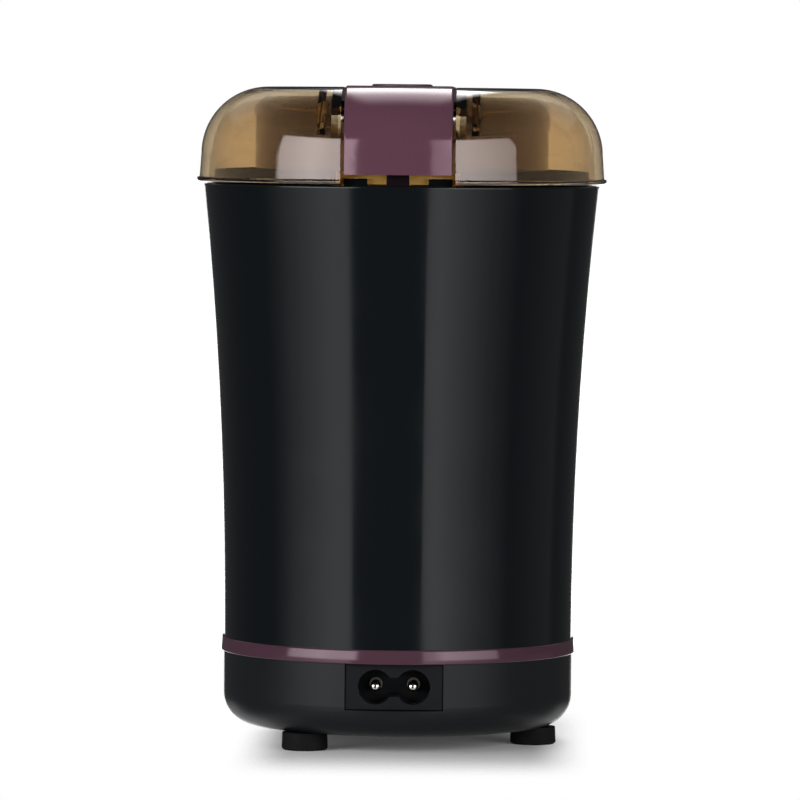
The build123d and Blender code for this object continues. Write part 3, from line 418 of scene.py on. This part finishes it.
def plum_ring():
    """Trim ring whose face leans back a little, so that it catches the light from above."""
    low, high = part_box("trim_ring")
    wall = 2.7 * MM
    lean = 0.3 * MM
    rounding = 0.35 * MM
    outer = high[0]
    inner = outer - wall
    section = ((inner, low[2]), (outer, low[2]), (outer - lean, high[2]), (inner, high[2]))
    build = bmesh.new()
    corners = [build.verts.new((r, 0, z)) for r, z in section]
    edges = [build.edges.new(pair) for pair in zip(corners, corners[1:] + corners[:1])]
    bmesh.ops.spin(
        build, geom=corners + edges, axis=(0, 0, 1), angle=FULL_TURN, steps=240, use_merge=True
    )
    # The level edges of the outer face, which are its two rims.
    rims = [
        edge
        for edge in build.edges
        if all(vert.co.xy.length > outer - 1.5 * lean for vert in edge.verts)
        and abs(edge.verts[0].co.z - edge.verts[1].co.z) < 0.1 * MM
    ]
    bmesh.ops.bevel(
        build, geom=rims, offset=rounding, affect="EDGES", segments=4, profile=0.5, material=-1
    )
    piece = finish_piece(
        "plum_ring", build, darker["trim_ring"], "plum_abs", "housing", "trim_ring"
    )
    piece.data.shade_smooth()


def contact_pins():
    """Two nickel pins with round noses, their thicker roots and solder tabs."""
    low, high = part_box("inlet_pins")
    half_spacing = 4.3 * MM
    pin = 1.2 * MM
    nose = 0.94 * pin
    root = 1.65 * MM
    root_length = 3.0 * MM
    tab = 2.4 * MM
    sheet = 0.8 * MM
    touching = 0.01 * MM
    # The plain solid's roots, 1.5 mm in radius, are its lowest points.
    middle = low[2] + 1.5 * MM
    tip = low[1]
    foot = high[1] - sheet
    length = foot - tip
    shoulder = foot - root_length - tip
    section = ((0, 0), (pin, 0), (pin, shoulder), (root, shoulder), (root, length), (0, length))
    build = bmesh.new()
    for side in (-1, 1):
        x = side * half_spacing
        corners = [build.verts.new((x + r, tip + y, middle)) for r, y in section]
        edges = [build.edges.new(pair) for pair in zip(corners, corners[1:])]
        bmesh.ops.spin(
            build,
            geom=corners + edges,
            cent=(x, 0, middle),
            axis=(0, 1, 0),
            angle=FULL_TURN,
            steps=48,
            use_merge=True,
        )
        plate = bmesh.ops.create_cube(build, size=1.0)["verts"]
        size = (tab, sheet, high[2] - middle + pin)
        bmesh.ops.scale(build, vec=size, verts=plate)
        centre = (x, foot + sheet / 2, (high[2] + middle - pin) / 2)
        bmesh.ops.translate(build, vec=centre, verts=plate)
    bmesh.ops.remove_doubles(build, verts=build.verts, dist=touching)
    # The rim of each tip, without the many edges that meet at the tip's centre.
    noses = [
        edge
        for edge in build.edges
        if all(abs(vert.co.y - tip) < touching for vert in edge.verts)
        and not any(len(vert.link_edges) > 8 for vert in edge.verts)
    ]
    bmesh.ops.bevel(
        build, geom=noses, offset=nose, affect="EDGES", segments=8, profile=0.5, material=-1
    )
    piece = finish_piece(
        "contact_pins", build, finishes["nickel_brass"], "nickel_brass", "housing", "inlet_pins"
    )
    piece.data.shade_smooth()
    piece.data.set_sharp_from_angle(angle=SHARP_ABOVE)


def return_coils():
    """The press bar's two springs in round wire."""
    low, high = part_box("return_springs")
    wire = 0.3 * MM
    turns = 3
    steps = 36 * turns
    height = high[2] - low[2]
    coil = (high[0] - low[0]) / 2 - wire
    upright = Matrix.Rotation(math.pi / 2, 3, "X")
    build = bmesh.new()
    for side in (-1, 1):
        y = side * (high[1] - coil - wire)
        ring = bmesh.ops.create_circle(build, radius=wire, segments=12)["verts"]
        bmesh.ops.rotate(build, verts=ring, cent=(0, 0, 0), matrix=upright)
        bmesh.ops.translate(build, vec=(coil, y, low[2] + wire), verts=ring)
        edges = [edge for edge in build.edges if edge.is_wire]
        bmesh.ops.spin(
            build,
            geom=ring + edges,
            cent=(0, y, 0),
            axis=(0, 0, 1),
            dvec=(0, 0, (height - 2 * wire) / steps),
            angle=FULL_TURN * turns,
            steps=steps,
        )
    bmesh.ops.holes_fill(build, edges=[edge for edge in build.edges if edge.is_boundary])
    piece = finish_piece(
        "return_coils", build, finishes["spring_steel"], "spring_steel", "lid", "return_springs"
    )
    piece.data.shade_smooth()
    piece.data.set_sharp_from_angle(angle=SHARP_ABOVE)
    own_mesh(piece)


plum_ring()
contact_pins()
return_coils()

# ---------------------------------------------------------------- studio

# Each light: its strength, and for each angle the stops (degrees, level) of its shape.
STUDIO_LIGHTS = (
    # Low in front, below the table's rim: the faded lower parts of the two boxes.
    (1.95, {
        "turn": ((-88.5, 0), (-81.7, 0.07), (-63.4, 0.38), (-46.8, 0.77), (-41.5, 0.87),
                 (-30, 0.87), (-28.6, 0), (16.4, 0), (18, 0.95), (25, 1), (35.5, 0.70),
                 (46, 0.47), (57, 0.24), (77, 0.02), (100, 0.06), (118, 0.06), (125, 0)),
        "rise": ((-62, 0), (-36, 0.45), (-18, 1), (-1.5, 1), (-0.5, 0)),
    }),
    # The box in front on the left.
    (7.8, {
        "turn": ((-75, 0), (-74, 0.6), (-52, 1), (-40, 0.85), (-26, 0.85), (-25, 0)),
        "rise": ((-1.5, 0), (-0.5, 1), (25, 1), (26, 0)),
    }),
    # The box in front on the right.
    (6.6, {
        "turn": ((17, 0), (18, 0.42), (25, 0.55), (32, 1), (69, 0.46), (70, 0)),
        "rise": ((-1.5, 0), (-0.5, 1), (25, 1), (26, 0)),
    }),
    # The strip from overhead to high behind, brightest at the back.
    (7.9, {
        "over": ((90, 0), (98, 0.13), (108, 0.42), (121, 0.62), (132, 1), (146, 1), (150, 0)),
        "lean": ((-13.5, 0), (-9.5, 1), (9.5, 1), (13.5, 0)),
    }),
    # Behind: the upper part of a pale wall.
    (0.25, {
        "turn": ((-128, 1), (-121, 0), (121, 0), (128, 1)),
        "rise": ((21, 0), (24, 1), (35, 1), (40, 0)),
    }),
    # Behind: the pale table on both sides of the mill.
    (0.8, {
        "turn": ((-174, 0), (-171, 1), (-141, 1), (-138, 0),
                 (138, 0), (141, 1), (171, 1), (174, 0)),
        "rise": ((-45, 0), (-35, 1), (-14, 1), (-10, 0)),
    }),
    # Straight behind: a narrow bright patch at the far side of the table.
    (3.0, {
        "turn": ((-170, 1), (-168, 0), (168, 0), (170, 1)),
        "rise": ((-22, 0), (-18, 1), (-2, 1), (0, 0)),
    }),
)
DIM_ROOM = 0.06


def view_angles(tree, axes):
    """A direction's angles. turn: 0 in front, + to the right. rise: + upwards. over: 0 in front,
    90 degrees overhead, 180 behind. lean: 0 straight up, + to the right."""
    front = add_node(
        tree, "ShaderNodeMath", {0: axes["Y"], 1: -1.0}, operation="MULTIPLY"
    ).outputs[0]
    return {
        "turn": add_node(tree, "ShaderNodeMath", {0: axes["X"], 1: front}, operation="ARCTAN2"),
        "rise": add_node(tree, "ShaderNodeMath", {0: axes["Z"]}, operation="ARCSINE"),
        "over": add_node(tree, "ShaderNodeMath", {0: axes["Z"], 1: front}, operation="ARCTAN2"),
        "lean": add_node(
            tree, "ShaderNodeMath", {0: axes["X"], 1: axes["Z"]}, operation="ARCTAN2"
        ),
    }


def studio_light(tree, angles):
    """The studio's lights added up, over the dim room."""
    total = DIM_ROOM
    for strength, shape in STUDIO_LIGHTS:
        for angle, stops in shape.items():
            place = add_node(
                tree,
                "ShaderNodeMapRange",
                {"Value": angles[angle].outputs[0], "From Min": -math.pi, "From Max": math.pi},
            )
            level = add_node(tree, "ShaderNodeValToRGB", {"Fac": place.outputs["Result"]})
            elements = level.color_ramp.elements
            while len(elements) < len(stops):
                elements.new(0.5)
            for element, (degrees, value) in zip(elements, stops):
                element.position = degrees / 360 + 0.5
                element.color = (value, value, value, 1.0)
            strength = add_node(
                tree,
                "ShaderNodeMath",
                {0: level.outputs["Color"], 1: strength},
                operation="MULTIPLY",
            ).outputs[0]
        total = add_node(
            tree, "ShaderNodeMath", {0: strength, 1: total}, operation="ADD"
        ).outputs[0]
    return total


def studio_world():
    """White to the eye. In reflections and as light: a box on each side in front, sharp-edged
    above the level of the table's rim and faded outwards below it, a strip from overhead to high
    behind, and behind the mill a pale wall, the table and a narrow bright patch."""
    world = bpy.data.worlds.new("studio")
    bpy.context.scene.world = world
    world.use_nodes = True
    tree = world.node_tree
    tree.nodes.clear()
    direction = add_node(tree, "ShaderNodeTexCoord").outputs["Generated"]
    axes = add_node(tree, "ShaderNodeSeparateXYZ", {"Vector": direction}).outputs
    light = studio_light(tree, view_angles(tree, axes))
    rays = add_node(tree, "ShaderNodeLightPath").outputs
    # Gloss also shows the pale floor further out, from 27 degrees below the horizon.
    floor = add_node(
        tree,
        "ShaderNodeMapRange",
        {"Value": axes["Z"], "From Min": -0.45, "From Max": -0.6, "To Max": 0.8},
    ).outputs["Result"]
    floor = add_node(
        tree, "ShaderNodeMath", {0: rays["Is Glossy Ray"], 1: floor}, operation="MULTIPLY"
    ).outputs[0]
    light = add_node(tree, "ShaderNodeMath", {0: light, 1: floor}, operation="ADD").outputs[0]
    # Clear plastic shows white as well, but from 30 degrees up it shows a dimmer ceiling.
    ceiling = add_node(
        tree,
        "ShaderNodeMapRange",
        {"Value": axes["Z"], "From Min": 0.5, "From Max": 0.85, "To Min": 1.0, "To Max": 0.25},
    ).outputs["Result"]
    through = add_node(
        tree, "ShaderNodeMath", {0: rays["Is Transmission Ray"], 1: ceiling}, operation="MULTIPLY"
    ).outputs[0]
    seen = add_node(
        tree, "ShaderNodeMath", {0: rays["Is Camera Ray"], 1: through}, operation="MAXIMUM"
    ).outputs[0]
    is_seen = add_node(
        tree,
        "ShaderNodeMath",
        {0: rays["Is Camera Ray"], 1: rays["Is Transmission Ray"]},
        operation="MAXIMUM",
    ).outputs[0]
    strength = add_node(
        tree, "ShaderNodeMix", {"Factor": is_seen, "A": light, "B": seen}
    ).outputs["Result"]
    back = add_node(
        tree, "ShaderNodeBackground", {"Color": colour("#ffffff"), "Strength": strength}
    )
    output = add_node(tree, "ShaderNodeOutputWorld")
    tree.links.new(back.outputs["Background"], output.inputs["Surface"])


def table():
    """White table top that fades out around the mill, so that only its shadow shows."""
    material, tree, output = new_material("white_table")
    place = add_node(tree, "ShaderNodeTexCoord").outputs["Object"]
    axes = add_node(tree, "ShaderNodeSeparateXYZ", {"Vector": place}).outputs
    # From below it is clear, so that the underside shows.
    behind = add_node(tree, "ShaderNodeNewGeometry").outputs["Backfacing"]
    shown = add_node(
        tree, "ShaderNodeMath", {0: 1.0, 1: behind}, operation="SUBTRACT"
    ).outputs[0]
    # From the middle of the shadow the table is whole as far as near, and gone from far on.
    for axis, middle, near, far in (
        ("X", 4 * MM, 27 * MM, 42 * MM),
        ("Y", 0.0, 30 * MM, 86 * MM),
    ):
        off = add_node(
            tree, "ShaderNodeMath", {0: axes[axis], 1: middle}, operation="SUBTRACT"
        ).outputs[0]
        off = add_node(tree, "ShaderNodeMath", {0: off}, operation="ABSOLUTE").outputs[0]
        near_it = add_node(
            tree,
            "ShaderNodeMapRange",
            {"Value": off, "From Min": near, "From Max": far, "To Min": 1.0, "To Max": 0.0},
            interpolation_type="SMOOTHSTEP",
        ).outputs["Result"]
        shown = add_node(
            tree, "ShaderNodeMath", {0: near_it, 1: shown}, operation="MULTIPLY"
        ).outputs[0]
    rays = add_node(tree, "ShaderNodeLightPath").outputs
    # White to the eye and in gloss. It throws little light back at the mill, dark underneath.
    paint = add_node(
        tree,
        "ShaderNodeMix",
        {"Factor": rays["Is Diffuse Ray"], "A": colour("#fafafa"), "B": colour("#808080")},
        data_type="RGBA",
    )
    white = add_node(tree, "ShaderNodeBsdfDiffuse", {"Color": paint.outputs["Result"]})
    # A little light of its own keeps the shadow soft to the eye.
    lift = add_node(
        tree, "ShaderNodeEmission", {"Color": colour("#ffffff"), "Strength": rays["Is Camera Ray"]}
    )
    lift_share = 0.04
    shade = add_node(
        tree, "ShaderNodeMixShader", {0: lift_share, 1: white.outputs[0], 2: lift.outputs[0]}
    )
    clear = add_node(tree, "ShaderNodeBsdfTransparent")
    mixed = add_node(
        tree, "ShaderNodeMixShader", {0: shown, 1: clear.outputs[0], 2: shade.outputs[0]}
    )
    tree.links.new(mixed.outputs[0], output.inputs["Surface"])
    mesh = bpy.data.meshes.new("table")
    build = bmesh.new()
    bmesh.ops.create_circle(build, cap_ends=True, segments=64, radius=200 * MM)
    build.to_mesh(mesh)
    build.free()
    top = bpy.data.objects.new("table", mesh)
    mesh.materials.append(material)
    bpy.context.scene.collection.objects.link(top)


def camera():
    """Long lens, a little above the mill and straight in front of its inlet."""
    data = bpy.data.cameras.new("camera")
    data.sensor_width = 36
    data.lens = 278.4
    data.clip_end = 10
    eye = bpy.data.objects.new("camera", data)
    bpy.context.scene.collection.objects.link(eye)
    place = Vector((0.0304, -1.45, 0.1473))
    aim = Vector((0, 0, 0.0799))
    look = (aim - place).to_track_quat("-Z", "Y").to_matrix().to_4x4()
    roll = Matrix.Rotation(math.radians(0.5), 4, "Z")
    eye.matrix_world = Matrix.Translation(place) @ look @ roll
    bpy.context.scene.camera = eye


studio_world()
table()
camera()
bpy.context.scene.view_settings.view_transform = "Standard"
